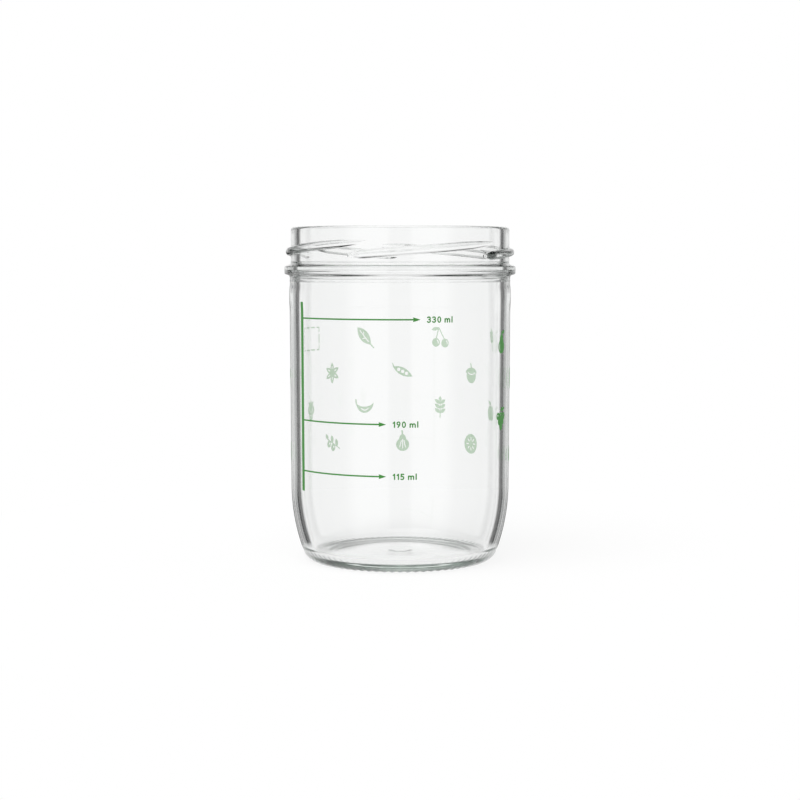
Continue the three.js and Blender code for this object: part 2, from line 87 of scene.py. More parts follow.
def ease(x):
    """Smooth step: nought below 0, one above 1, and 3x² - 2x³ between."""
    x = np.clip(x, 0.0, 1.0)
    return x * x * (3.0 - 2.0 * x)


def arc(x, y, a, b, start, end, steps):
    """Points of an elliptic arc: x + a cos t, y + b sin t, with t in even steps of degrees."""
    t = np.radians(np.linspace(start, end, steps + 1))
    return np.stack([x + a * np.cos(t), y + b * np.sin(t)], axis=1)


def turn_in(radius, corner, floor, steps):
    """Wall turning in to a level floor: a long arc tangent to the tapered wall, then a corner arc tangent to
    the long arc and to the floor."""
    lean = math.atan(BODY_TAPER / (WALL_TOP - TURN_HEIGHT))
    middle_r = BODY_R - BODY_TAPER - TURN_ARC * math.cos(lean)
    middle_z = TURN_HEIGHT + TURN_ARC * math.sin(lean)
    drop = middle_z - floor - corner
    reach = math.sqrt((radius - corner) ** 2 - drop**2)
    touch = math.degrees(math.atan2(drop, reach))
    long = arc(middle_r, middle_z, radius, radius, -math.degrees(lean), -touch, steps)
    short = arc(middle_r + reach, floor + corner, corner, corner, -touch, -90.0, steps)
    return np.concatenate([long, short[1:]])


def along_z(z, r):
    """Profile points at heights z and radii r."""
    return np.stack(np.broadcast_arrays(r, z), axis=1)


def outer_profile():
    """Outside from the heel to the waist: heel and turn arcs, a straight taper, an eased swell at the
    shoulder, an eased fall to the waist, and a seam ridge of h exp(-(d / w)²), d being the distance from
    its middle."""
    foot = turn_in(TURN_ARC, HEEL_ARC, 0.0, 18)[::-1]
    near_seam = np.linspace(SEAM_Z - SEAM_REACH, SEAM_Z + SEAM_REACH, 11)
    z = np.unique(np.concatenate([np.linspace(WALL_TOP, WAIST_TOP, 16), near_seam]))
    swell = SWELL * ease((z - WALL_TOP) / SWELL_RISE)
    fall = (BODY_R + SWELL - WAIST_R) * ease((z - WAIST_FROM) / WAIST_FALL)
    seam = SEAM_HEIGHT * np.exp(-(((z - SEAM_Z) / SEAM_HALF) ** 2))
    return np.concatenate([foot, along_z(z, BODY_R + swell - fall + seam)])


def jar_profile():
    """Whole section from the middle of the underside, up the outside, over the rim and down to the middle of
    the floor. The hollow under the base is h (1 - (r / ring)^6) high, less an eased boss. The bead reaches
    1 / (1 + u^10) of the way to its crest, u being the height from its middle over its half height."""
    outside = outer_profile()
    ring = outside[0, 0] - STAND_WIDTH
    under_r = np.concatenate([np.linspace(0.0, BOSS_ZONE, 13), np.linspace(PLAIN_ZONE, ring, 13)])
    boss = BOSS_DROP * ease((BOSS_FOOT_R - under_r) / BOSS_SLOPE)
    under_z = PUSH_UP * (1.0 - (under_r / ring) ** PUSH_UP_POWER) - boss
    bead_z = BEAD_Z + np.linspace(-BEAD_REACH, BEAD_REACH, 45)
    foot_r = WAIST_R + (NECK_R - WAIST_R) * ease((bead_z - BEAD_Z) / BEAD_HALF)
    bead_r = foot_r + (BEAD_R - foot_r) / (1.0 + ((bead_z - BEAD_Z) / BEAD_HALF) ** BEAD_POWER)
    neck_z = np.concatenate([np.linspace(*rows) for rows in NECK_ROWS])
    shelf = HEIGHT - RIM_ROUND
    lip = arc(NECK_R - RIM_ROUND, shelf, RIM_ROUND, RIM_ROUND, 0.0, 90.0, 9)
    mouth = arc(MOUTH_R + RIM_ROUND, shelf, RIM_ROUND, RIM_ROUND, 90.0, 180.0, 9)
    near_ring = np.linspace(INNER_RING_Z - INNER_RING_REACH, INNER_RING_Z + INNER_RING_REACH, 19)
    inner_z = np.unique(np.concatenate([np.linspace(WALL_TOP, shelf - RIM_CLEAR, 18), near_ring]))[::-1]
    inner_r = MOUTH_R + (BODY_R - WALL - MOUTH_R) * ease((BEAD_Z - inner_z) / (BEAD_Z - WALL_TOP))
    inner_r = inner_r + INNER_RING_DEPTH * np.exp(-(((inner_z - INNER_RING_Z) / INNER_RING_HALF) ** 2))
    floor = turn_in(TURN_ARC - WALL, INSIDE_CORNER, FLOOR, 16)
    floor_r = np.linspace(floor[-1, 0], 0.0, 14)[1:]
    floor_z = FLOOR + FLOOR_CROWN * ease(1.0 - floor_r / floor[-1, 0])
    return np.concatenate([
        along_z(under_z, under_r), outside, along_z(bead_z, bead_r),
        along_z(neck_z, NECK_R), lip, mouth,
        along_z(inner_z, inner_r), floor, along_z(floor_z, floor_r),
    ])


def lug_relief(theta, z):
    """Height of the thread above the neck: each lug's middle line climbs evenly with the angle, and d is the
    distance from it as a share of the half width. The height is (1 - d^2.8) to the power 0.6; it and the
    width rise smoothly along the lug's short nose and fall away along its long tail."""
    relief = np.zeros(np.broadcast(theta, z).shape)
    for first, length, foot, climb in LUGS:
        past = np.mod(theta - first + LUG_BEFORE, 360.0) - LUG_BEFORE
        rise = ease(past / LUG_NOSE) * ease((length - past) / LUG_TAIL)
        half_width = LUG_HALF * (LUG_SLIM + (1.0 - LUG_SLIM) * rise)
        off = (z - foot - climb * past / length) / half_width
        crown = np.clip(1.0 - np.abs(off) ** LUG_POWER, 0.0, 1.0) ** LUG_ROUND
        relief = np.maximum(relief, LUG_REACH * rise * crown)
    return relief


def jar_mesh():
    """Section turned about the upright axis: x = r sin t, y = -r cos t, both ends closed to a point on the
    axis. The ring it stands on is lifted in even grooves, d (1 - cos n t) / 2, that fade up the heel and in
    under the base."""
    section = jar_profile()
    theta = np.linspace(0.0, 360.0, COLUMNS, endpoint=False)
    r, z = np.broadcast_arrays(section[1:-1, :1], np.zeros(COLUMNS))[0].copy(), section[1:-1, 1:]
    neck = (section[1:-1, 0] == NECK_R) & (section[1:-1, 1] > BEAD_Z)
    r[neck] += lug_relief(theta, z[neck])
    inside_ring = r - outer_profile()[0, 0] + STAND_WIDTH
    hold = ease((KNURL_TOP - z) / KNURL_FADE) * ease((inside_ring + KNURL_INWARD) / KNURL_INWARD_FADE)
    z = z + KNURL_DEPTH * hold * (0.5 - 0.5 * np.cos(np.radians(KNURLS * theta)))
    turn = np.radians(theta)
    rows = np.stack(np.broadcast_arrays(r * np.sin(turn), -r * np.cos(turn), z), axis=2)
    ends = np.array([[0.0, 0.0, section[0, 1]], [0.0, 0.0, section[-1, 1]]])
    points = np.concatenate([rows.reshape(-1, 3), ends]) * MM
    index = np.arange(rows.shape[0] * COLUMNS).reshape(-1, COLUMNS)
    beside = np.roll(index, -1, axis=1)
    quads = np.stack([index[:-1], beside[:-1], beside[1:], index[1:]], axis=2).reshape(-1, 4)
    under = np.stack([np.full(COLUMNS, index.size), beside[0], index[0]], axis=1)
    floor = np.stack([index[-1], beside[-1], np.full(COLUMNS, index.size + 1)], axis=1)
    mesh = bpy.data.meshes.new("glass_jar_shape")
    mesh.from_pydata(points.tolist(), [], quads.tolist() + under.tolist() + floor.tolist())
    mesh.polygons.foreach_set("use_smooth", np.ones(len(mesh.polygons), dtype=bool))
    mesh.update()
    return mesh


def linear(code):
    """An sRGB hex colour as linear red, green, blue and full alpha."""
    value = np.array([int(code[i : i + 2], 16) for i in (1, 3, 5)]) / 255.0
    value = np.where(value <= 0.04045, value / 12.92, ((value + 0.055) / 1.055) ** 2.4)
    return (*value.tolist(), 1.0)


def add_node(tree, kind, inputs=None, **settings):
    """Adds one node with its settings; each input, named or numbered, gets a value or a link to an output."""
    made = tree.nodes.new(kind)
    for name, value in settings.items():
        setattr(made, name, value)
    for name, value in (inputs or {}).items():
        if isinstance(value, bpy.types.NodeSocket):
            tree.links.new(value, made.inputs[name])
        else:
            made.inputs[name].default_value = value
    return made


def new_material(name):
    """An empty node material and its tree."""
    material = bpy.data.materials.new(name)
    material.use_nodes = True
    material.node_tree.nodes.clear()
    return material, material.node_tree


# Moulded soda-lime glass: nearly colourless. The iron in it gives the thick base and edges a grey-green cast,
# drawn stronger than real, and the mould leaves a slow ripple that bends reflections a little.
RIPPLE, RIPPLE_DEPTH = 18.0, 0.4
clear_glass, tree = new_material("moulded soda-lime glass")
place = add_node(tree, "ShaderNodeTexCoord").outputs["Object"]
ripple = add_node(tree, "ShaderNodeTexNoise", {"Vector": place, "Scale": 1.0 / (RIPPLE * MM), "Detail": 1.0})
skin = add_node(tree, "ShaderNodeBump", {
    "Height": ripple.outputs[0], "Strength": 0.05, "Distance": RIPPLE_DEPTH * MM,
})
body = add_node(tree, "ShaderNodeBsdfPrincipled", {
    "Base Color": linear("#ffffff"), "Roughness": 0.0, "IOR": 1.52, "Transmission Weight": 1.0,
    "Normal": skin.outputs[0],
})
iron = add_node(tree, "ShaderNodeVolumeAbsorption", {"Color": linear("#dde4e0"), "Density": 22.0})
add_node(tree, "ShaderNodeOutputMaterial", {"Surface": body.outputs[0], "Volume": iron.outputs[0]})

jar = bpy.data.objects.new("glass_jar_moulding", jar_mesh())
jar.data.materials.append(clear_glass)
scene.collection.objects.link(jar)
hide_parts("glass_jar")
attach(jar, "root")

# Clear glass hardly dims what lies behind it, so soft light reaches the print and the table as if it weren't
# there. Light goes to and fro in the thick base many times, so rays get more bounces than usual.
jar.visible_diffuse = False
scene.cycles.max_bounces = 32
scene.cycles.glossy_bounces = 24
scene.cycles.transmission_bounces = 32

# Upright bar and arrows of the scale
# Fired enamel, screen-printed on the outside of the wall in one film: a heavy bar and three thin level arrows
# that start at the bar. The film's inner face, against the glass, is painted pale green where the print is
# seen
# through the jar: a painted backlight, standing in for light shining through the thin film from behind.
FILM_GAP, FILM, FILM_STEP = 0.012, 0.035, 0.7
FILL_STEP, FILL_START, SAME_POINT = 0.8, (0.31, 0.27), 1e-5
BAR_ANGLE, BAR_WIDTH, BAR_FOOT, BAR_TOP = -59.4, 1.75, 27.1, 93.0
LINE_WIDTH, LINE_GAP, HEAD_LENGTH, HEAD_WIDTH, HEAD_NOTCH, TIP_HALF = 0.52, 0.05, 2.5, 1.65, 0.15, 0.05

# Each mark's label, its height as a share of the bar, and the angle of its arrow's tip.
MARKS = {"top": ("330ml", 0.915, 10.0), "middle": ("190ml", 0.378, -7.0), "low": ("115ml", 0.109, -7.0)}

# Screen-printed enamel: satin leaf green, a little uneven in weight, with a fine grain from the fired frit.
# The grain is drawn at a third of a millimetre, coarser than real frit, so that it shows.
PATCH, GRAIN, GRAIN_DEPTH = 6.0, 0.35, 0.01
green_enamel, tree = new_material("fired green enamel")
place = add_node(tree, "ShaderNodeTexCoord").outputs["Object"]
weight = add_node(tree, "ShaderNodeTexNoise", {"Vector": place, "Scale": 1.0 / (PATCH * MM), "Detail": 3.0})
grain = add_node(tree, "ShaderNodeTexNoise", {"Vector": place, "Scale": 1.0 / (GRAIN * MM), "Detail": 2.0})
colour = add_node(tree, "ShaderNodeMix", {
    "Factor": weight.outputs[0], 6: linear("#2f8427"), 7: linear("#43963a"),
}, data_type="RGBA")
satin = add_node(tree, "ShaderNodeMapRange", {"Value": grain.outputs[0], "To Min": 0.34, "To Max": 0.5})
relief = add_node(tree, "ShaderNodeBump", {
    "Height": grain.outputs[0], "Strength": 0.15, "Distance": GRAIN_DEPTH * MM,
})
body = add_node(tree, "ShaderNodeBsdfPrincipled", {
    "Base Color": colour.outputs[2], "Roughness": satin.outputs[0], "IOR": 1.5, "Normal": relief.outputs[0],
})
add_node(tree, "ShaderNodeOutputMaterial", {"Surface": body.outputs[0]})

# Painted backlight: the film's inner face against the glass, pale green and chalky, in place of light shining
# through the film from behind.
BACKLIGHT_PATCH = 4.0
painted_backlight_coat, tree = new_material("pale enamel painted backlight")
place = add_node(tree, "ShaderNodeTexCoord").outputs["Object"]
weight = add_node(tree, "ShaderNodeTexNoise", {
    "Vector": place, "Scale": 1.0 / (BACKLIGHT_PATCH * MM), "Detail": 3.0,
})
colour = add_node(tree, "ShaderNodeMix", {
    "Factor": weight.outputs[0], 6: linear("#c3dfc1"), 7: linear("#cfe6cd"),
}, data_type="RGBA")
body = add_node(tree, "ShaderNodeBsdfPrincipled", {
    "Base Color": colour.outputs[2], "Roughness": 0.6, "IOR": 1.5,
})
add_node(tree, "ShaderNodeOutputMaterial", {"Surface": body.outputs[0]})

wall_line = outer_profile()


def on_wall(flat, depth, angle, height):
    """Lays flat points on the wall: the angle grows with x over the body radius and the height with y, and
    the radius is the wall's at that height, plus depth."""
    z = height + flat[:, 1]
    turn = math.radians(angle) + flat[:, 0] / BODY_R
    r = np.interp(z, wall_line[:, 1], wall_line[:, 0]) + depth
    return np.stack([r * np.sin(turn), -r * np.cos(turn), z], axis=1) * MM


def short_steps(loop):
    """A closed outline with its long sides cut into even steps, so that it follows the round of the wall."""
    side = np.roll(loop, -1, axis=0) - loop
    cuts = np.ceil(np.hypot(side[:, 0], side[:, 1]) / FILM_STEP).astype(int)
    corner = np.repeat(np.arange(len(loop)), cuts)
    past = np.arange(cuts.sum()) - np.repeat(np.cumsum(cuts) - cuts, cuts)
    return loop[corner] + side[corner] * (past / cuts[corner])[:, None]


def enamel_film(name, cad_node, ink, bare, scale, angle, height):
    """A film on the wall: the outlines in ink joined, less those in bare, cut into small triangles, given two
    faces a film's thickness apart and a rim between them."""
    loops = [short_steps(np.asarray(loop) * scale) for loop in [*ink, *bare]]
    starts = np.cumsum([0, *map(len, loops)])
    rims = [list(range(a, b)) for a, b in zip(starts[:-1], starts[1:])]
    edge = np.concatenate(loops)
    xs, ys = (np.arange(low, high, FILL_STEP) + start
              for low, high, start in zip(edge.min(axis=0), edge.max(axis=0), FILL_START))
    inner = np.stack(np.meshgrid(xs, ys), axis=2).reshape(-1, 2)
    spots = [Vector(p) for p in np.concatenate([edge, inner]).tolist()]
    flat, _, faces, _, _, owners = delaunay_2d_cdt(spots, [], rims, 1, SAME_POINT)
    kept = [face for face, own in zip(faces, owners) if own and max(own) < len(ink)]
    used, faces = np.unique(np.array(kept), return_inverse=True)
    faces = faces.reshape(-1, 3)
    flat = np.array([p[:] for p in flat])[used]
    a, b, c = (flat[faces[:, i]] for i in range(3))
    turned = (b[:, 0] - a[:, 0]) * (c[:, 1] - a[:, 1]) < (b[:, 1] - a[:, 1]) * (c[:, 0] - a[:, 0])
    faces[turned] = faces[turned][:, ::-1]
    sides = np.concatenate([faces[:, [0, 1]], faces[:, [1, 2]], faces[:, [2, 0]]])
    code, back = sides @ [len(flat), 1], sides @ [1, len(flat)]
    rim = sides[~np.isin(code, back)]
    count = len(flat)
    points = np.concatenate([on_wall(flat, depth, angle, height) for depth in (FILM_GAP + FILM, FILM_GAP)])
    walls = np.stack([rim[:, 0] + count, rim[:, 1] + count, rim[:, 1], rim[:, 0]], axis=1)
    mesh = bpy.data.meshes.new(name + "_shape")
    mesh.from_pydata(points.tolist(), [], faces.tolist() + walls.tolist() + (faces[:, ::-1] + count).tolist())
    mesh.materials.append(green_enamel)
    mesh.materials.append(painted_backlight_coat)
    # The film's inner faces take the pale painted backlight.
    painted_backlight_faces = np.zeros(len(mesh.polygons), dtype=np.int32)
    painted_backlight_faces[len(faces) + len(walls) :] = 1
    mesh.polygons.foreach_set("material_index", painted_backlight_faces)
    mesh.update()
    film = bpy.data.objects.new(name, mesh)
    scene.collection.objects.link(film)
    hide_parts(cad_node)
    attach(film, "root")
    return film


def oval(x, y, a, b=None, steps=40):
    """Closed outline of an oval: an elliptic arc of one whole turn, round where b is left out."""
    return arc(x, y, a, a if b is None else b, 0.0, 360.0, steps)[:-1]


def stroke(path, width):
    """Outline of even width along a path: the path moved half the width to each side, round at both ends."""
    path = np.asarray(path, dtype=float)
    ahead = np.concatenate([path[1:], path[-1:]]) - np.concatenate([path[:1], path[:-1]])
    turn = np.arctan2(ahead[:, 1], ahead[:, 0])
    side = width / 2 * np.stack([-np.sin(turn), np.cos(turn)], axis=1)
    tip, tail = np.degrees(turn[-1]), np.degrees(turn[0])
    round_tip = arc(*path[-1], width / 2, width / 2, tip - 90.0, tip + 90.0, 8)[1:-1]
    round_tail = arc(*path[0], width / 2, width / 2, tail + 90.0, tail + 270.0, 8)[1:-1]
    return np.concatenate([path - side, round_tip, (path + side)[::-1], round_tail])


def line(x0, y0, x1, y1, width):
    """Outline of a straight stroke."""
    return stroke([(x0, y0), (x1, y1)], width)


def mark_height(share):
    """Height of a scale mark, at its share of the bar."""
    return BAR_FOOT + (BAR_TOP - BAR_FOOT) * share


half = BAR_WIDTH / 2
bar = np.array([(-half, 0.0), (half, 0.0), (half, BAR_TOP - BAR_FOOT), (-half, BAR_TOP - BAR_FOOT)])
enamel_film("enamel_bar", "scale_bar", [bar], [], 1.0, BAR_ANGLE, BAR_FOOT)
for mark, (text, share, tip_angle) in MARKS.items():
    tip = math.radians(tip_angle - BAR_ANGLE) * BODY_R
    tail, neck, thin, wide = half + LINE_GAP, tip - HEAD_LENGTH, LINE_WIDTH / 2, HEAD_WIDTH / 2
    arrow = np.array([
        (tail, -thin), (neck + HEAD_NOTCH, -thin), (neck, -wide), (tip, -TIP_HALF),
        (tip, TIP_HALF), (neck, wide), (neck + HEAD_NOTCH, thin), (tail, thin),
    ])
    height = mark_height(share)
    enamel_film("enamel_arrow_" + mark, "scale_arrow_" + mark, [arrow], [], 1.0, BAR_ANGLE, height)

# Labels of the scale
# Plain volumes beside the arrow tips, of the same enamel and printed in the same pass as the scale, in a
# round-ended sans-serif. Each character is an island of its own, drawn on a cell one unit high.
LABEL_HEIGHT, LABEL_GAP, WORD_SPACE, LETTER_SPACE, STROKE = 2.2, 2.3, 0.35, 0.2, 0.2
GLYPHS = {
    "0": (0.64, [oval(0.32, 0.5, 0.32, 0.5)], [oval(0.32, 0.5, 0.13, 0.31)]),
    "1": (0.4, [line(0.3, 0.1, 0.3, 0.9, STROKE), line(0.1, 0.72, 0.3, 0.9, STROKE)], []),
    "3": (0.62, [stroke(arc(0.28, 0.71, 0.22, 0.19, 150, -90, 24), STROKE),
                 stroke(arc(0.28, 0.32, 0.24, 0.22, 90, -150, 24), STROKE)], []),
    "5": (0.62, [line(0.14, 0.9, 0.52, 0.9, STROKE), line(0.14, 0.9, 0.12, 0.5, STROKE),
                 stroke(arc(0.26, 0.34, 0.26, 0.24, 125, -130, 24), STROKE)], []),
    "9": (0.62, [oval(0.31, 0.69, 0.31, 0.31), stroke([(0.52, 0.66), (0.46, 0.4), (0.24, 0.1)], STROKE)],
          [oval(0.31, 0.69, 0.12, 0.12)]),
    "m": (0.98, [line(0.1, 0.1, 0.1, 0.6, STROKE),
                 stroke([(0.1, 0.44), *arc(0.3, 0.44, 0.19, 0.17, 150, 0, 12), (0.49, 0.1)], STROKE),
                 stroke([(0.49, 0.44), *arc(0.69, 0.44, 0.19, 0.17, 150, 0, 12), (0.88, 0.1)], STROKE)], []),
    "l": (0.2, [line(0.1, 0.1, 0.1, 0.92, STROKE)], []),
}
for mark, (text, share, tip_angle) in MARKS.items():
    reach = LABEL_GAP
    for i, character in enumerate(text, 1):
        width, ink, bare = GLYPHS[character]
        reach += LABEL_HEIGHT * WORD_SPACE * (character == "m")
        spot = tip_angle + math.degrees(reach / BODY_R), mark_height(share) - LABEL_HEIGHT / 2
        enamel_film(f"enamel_label_{mark}_{i}", f"scale_label_{mark}_{i}", ink, bare, LABEL_HEIGHT, *spot)
        reach += LABEL_HEIGHT * (width + LETTER_SPACE)

# Field for a name
# A dashed frame left blank to write in, printed in the same enamel near the top of the wall at the back. Its
# ten dashes are four corners, two on each long side and one on each short side.
FIELD_WIDTH, FIELD_HEIGHT, DASH_HALF, DASH_ASIDE = 15.0, 8.3, 1.5, 0.34
ROWS, PER_ROW, MOTIF_FROM, MOTIF_TO, MOTIF_TOP, MOTIF_LOW = 4, 5, 64.0, 270.0, 0.785, 0.18


def motif_place(i):
    """Angle and height of a place in the print: rows of five down the wall, every other row half a step
    further round."""
    row, column = divmod(i, PER_ROW)
    angle = MOTIF_FROM + (MOTIF_TO - MOTIF_FROM) / (PER_ROW - 0.5) * (column + row % 2 / 2)
    return angle, mark_height(MOTIF_TOP + (MOTIF_LOW - MOTIF_TOP) * row / (ROWS - 1))


across, tall = FIELD_WIDTH / 2, FIELD_HEIGHT / 2
corners = [
    [(x * across, y * (tall - DASH_HALF)), (x * across, y * tall), (x * (across - DASH_HALF), y * tall)]
    for x in (-1, 1) for y in (-1, 1)
]
long_sides = [
    [(x * across - DASH_HALF, y * tall), (x * across + DASH_HALF, y * tall)]
    for x in (-DASH_ASIDE, DASH_ASIDE) for y in (-1, 1)
]
short_sides = [[(x * across, -DASH_HALF), (x * across, DASH_HALF)] for x in (-1, 1)]
field_place = motif_place(PER_ROW - 1)
for i, path in enumerate(corners + long_sides + short_sides, 1):
    outline = stroke(path, LINE_WIDTH)
    enamel_film(f"enamel_field_dash_{i}", f"name_field_dash_{i}", [outline], [], 1.0, *field_place)

# Food motifs
# Small plain fruit, nuts and herbs in the same green enamel, in staggered rows round the sides and back. Each
# is one island of print with a few bare lines left in it, drawn on a cell that reaches one unit each way.
MOTIF_SIZE = 8.3


def leaf(x0, y0, x1, y1, width):
    """Leaf outline between two points: a bow of 2 w t (1 - t) on each side of the line that joins them."""
    t = np.linspace(0.0, 1.0, 17)[:, None]
    spine = np.array([x0, y0]) + t * np.array([x1 - x0, y1 - y0])
    aside = np.array([y0 - y1, x1 - x0]) / math.hypot(x1 - x0, y1 - y0)
    bow = 2.0 * width * t * (1.0 - t) * aside
    return np.concatenate([spine - bow, (spine + bow)[-2:0:-1]])


def dome(x, y, a, b):
    """Upper half of an oval, closed along its level foot."""
    return arc(x, y, a, b, 0.0, 180.0, 28)


def wedge(inner, outer, start, end):
    """Part of a slice between two radii and two angles."""
    return np.concatenate([arc(0, 0, outer, outer, start, end, 9), arc(0, 0, inner, inner, end, start, 4)])


def spoke(start, end, turn, width):
    """Stroke along a radius at a turn from upright."""
    x, y = math.sin(math.radians(turn)), math.cos(math.radians(turn))
    return line(start * x, start * y, end * x, end * y, width)


SIXTHS, EIGHTHS, STEPS_UP = range(0, 360, 60), range(0, 360, 45), (-0.35, -0.02, 0.31)
MOTIFS = {
    "pear": ([oval(0, -0.36, 0.6, 0.58), oval(0, 0.2, 0.35, 0.5), line(0, 0.6, 0.1, 0.94, 0.12),
              leaf(0.06, 0.74, 0.66, 0.96, 0.26)], [stroke(arc(0, -0.36, 0.4, 0.38, 150, 225, 12), 0.1)]),
    "wheat_ear": ([line(-0.3, -1, 0.05, 0.6, 0.1), leaf(0.03, 0.5, 0.16, 1, 0.26)]
                  + [leaf(y * 0.22 - 0.08, y, y * 0.22 - 0.48, y + 0.44, 0.26) for y in STEPS_UP]
                  + [leaf(y * 0.22 - 0.08, y, y * 0.22 + 0.42, y + 0.36, 0.26) for y in STEPS_UP], []),
    "cherries": ([oval(-0.5, -0.55, 0.4), oval(0.46, -0.5, 0.4), line(-0.5, -0.3, 0.16, 0.84, 0.1),
                  line(0.46, -0.2, 0.16, 0.84, 0.1), leaf(0.12, 0.84, 0.92, 0.66, 0.32)],
                 [stroke(arc(-0.5, -0.55, 0.24, 0.24, 120, 200, 10), 0.09),
                  stroke(arc(0.46, -0.5, 0.24, 0.24, 120, 200, 10), 0.09)]),
    "basil_leaf": ([leaf(-0.66, -0.72, 0.74, 0.9, 0.95), line(-0.94, -1, -0.6, -0.64, 0.12)],
                   [line(-0.4, -0.42, 0.46, 0.58, 0.09), line(-0.12, -0.1, 0.2, -0.16, 0.08),
                    line(0.12, 0.18, 0.1, 0.46, 0.08)]),
    "lemon_slice": ([oval(0, 0, 0.92, 0.92, 64)], [wedge(0.2, 0.72, turn + 7, turn + 53) for turn in SIXTHS]),
    "hazelnut": ([oval(0, -0.2, 0.66, 0.7), dome(0, 0.02, 0.78, 0.5), line(0, 0.45, 0.1, 0.86, 0.14)],
                 [stroke(arc(0, 0.3, 0.6, 0.4, 215, 325, 16), 0.09)]),
    "pea_pod": ([leaf(-0.96, -0.46, 0.96, 0.46, 0.72), line(0.86, 0.42, 0.98, 0.74, 0.1)],
                [oval(x, x * 0.48, 0.16) for x in (-0.38, 0, 0.38)]),
    "star_anise": ([oval(0, 0, 0.26)] + [leaf(0, 0, 0.96 * math.sin(math.radians(turn)),
                                              0.96 * math.cos(math.radians(turn)), 0.44) for turn in SIXTHS],
                   [spoke(0.4, 0.6, turn, 0.1) for turn in SIXTHS]),
    "mushroom": ([dome(0, 0.02, 0.92, 0.78), oval(0, -0.38, 0.3, 0.56)],
                 [oval(-0.44, 0.32, 0.14, 0.11), oval(0.06, 0.5, 0.15, 0.12), oval(0.5, 0.25, 0.12, 0.1)]),
    "grapes": ([oval(x, 0.18, 0.32) for x in (-0.52, 0, 0.52)] + [oval(x, -0.28, 0.32) for x in (-0.27, 0.27)]
               + [oval(0, -0.7, 0.3), line(0, 0.4, 0.06, 0.92, 0.1), leaf(0.03, 0.66, 0.78, 0.86, 0.32)],
               [oval(x, 0.24, 0.08) for x in (-0.58, -0.06, 0.46)]),
    "apple": ([oval(-0.26, -0.18, 0.5, 0.66), oval(0.26, -0.18, 0.5, 0.66), line(0, 0.3, 0.06, 0.8, 0.12),
               leaf(0.04, 0.56, 0.66, 0.9, 0.3)], [stroke(arc(-0.26, -0.18, 0.32, 0.46, 125, 215, 12), 0.1)]),
    "herb_sprig": ([line(0, -0.98, 0, 0.6, 0.1), leaf(0, 0.46, 0, 0.98, 0.3)]
                   + [leaf(0, y, side * 0.56, y + 0.4, 0.34)
                      for y in (-0.56, -0.14, 0.28) for side in (-1, 1)], []),
    "banana": ([np.concatenate([arc(0, 0.5, 0.94, 1.08, 190, 350, 30), arc(0, 0.5, 0.92, 0.5, 345, 195, 30)]),
                line(0.9, 0.3, 0.94, 0.66, 0.14)], [stroke(arc(0, 0.5, 0.6, 0.82, 235, 305, 14), 0.09)]),
    "strawberry": ([oval(-0.26, 0.08, 0.5, 0.46), oval(0.26, 0.08, 0.5, 0.46), oval(0, -0.38, 0.44, 0.58)]
                   + [leaf(0, 0.36, x, y, 0.3) for x, y in ((-0.62, 0.82), (0, 0.98), (0.62, 0.82))],
                   [oval(x, y, 0.07, 0.1) for x, y in
                    ((-0.36, 0.1), (0.36, 0.1), (-0.2, -0.42), (0.2, -0.42), (0, -0.1))]),
    "bean": ([stroke(arc(0, -0.5, 0.6, 0.66, 5, 175, 30), 0.66)],
             [stroke(arc(0, -0.5, 0.72, 0.78, 60, 130, 12), 0.1)]),
    "kiwi_slice": ([oval(0, 0, 0.9, 0.9, 64)], [spoke(0.36, 0.56, turn, 0.11) for turn in EIGHTHS]),
    "fig": ([oval(0, -0.36, 0.64, 0.6), oval(0, 0.14, 0.34, 0.46), line(0, 0.5, 0.06, 0.9, 0.16)],
            [line(-0.28, -0.6, -0.13, 0, 0.08), line(0, -0.7, 0, 0.1, 0.08),
             line(0.28, -0.6, 0.13, 0, 0.08)]),
    "olive_twig": ([line(-0.9, -0.5, 0.8, 0.5, 0.09), oval(-0.06, -0.36, 0.28, 0.34),
                    oval(0.5, -0.02, 0.26, 0.32), leaf(-0.6, -0.32, -0.44, 0.42, 0.36),
                    leaf(0, 0.03, 0.14, 0.76, 0.36), leaf(0.6, 0.38, 0.98, 0.92, 0.32)],
                   [oval(-0.14, -0.3, 0.07, 0.1), oval(0.42, 0.02, 0.07, 0.1)]),
    "egg_half": ([oval(0, -0.16, 0.68, 0.7), oval(0, 0.14, 0.56, 0.76)],
                 [stroke(arc(0, -0.16, 0.36, 0.36, 30, 330, 36), 0.1)]),
}
places = [i for i in range(len(MOTIFS) + 1) if i != PER_ROW - 1]
for i, (motif, (ink, bare)) in zip(places, MOTIFS.items()):
    enamel_film("enamel_motif_" + motif, "motif_" + motif, ink, bare, MOTIF_SIZE / 2, *motif_place(i))

# Floor and light
# A round white table in a white studio. What the camera sees past or straight through the jar is white, and a
# ray that the glass has mirrored sees the studio: a softbox on each side of the camera, grey sides, dark
# flags beside and low before a lit backdrop, and a ceiling that is dark but for a strip at the back.
TABLE_R, TABLE_SIDES, NEAR_R, FAR_R = 0.2, 128, 0.041, 0.047
# The second level is a painted shade: the glow, a little under white, of the table round the jar as mirrored
# rays see it.
TABLE_GLOW, PAINTED_SHADE_UNDER_JAR, ROOM_LIGHT = 0.6, 0.92, 0.8
CEILING_FROM, CEILING_TO = 0.3, 0.55
SUN_LEVEL, SUN_SPREAD, SUN_TIPPED, SUN_ASIDE = 0.22, 50.0, 20.0, -14.0

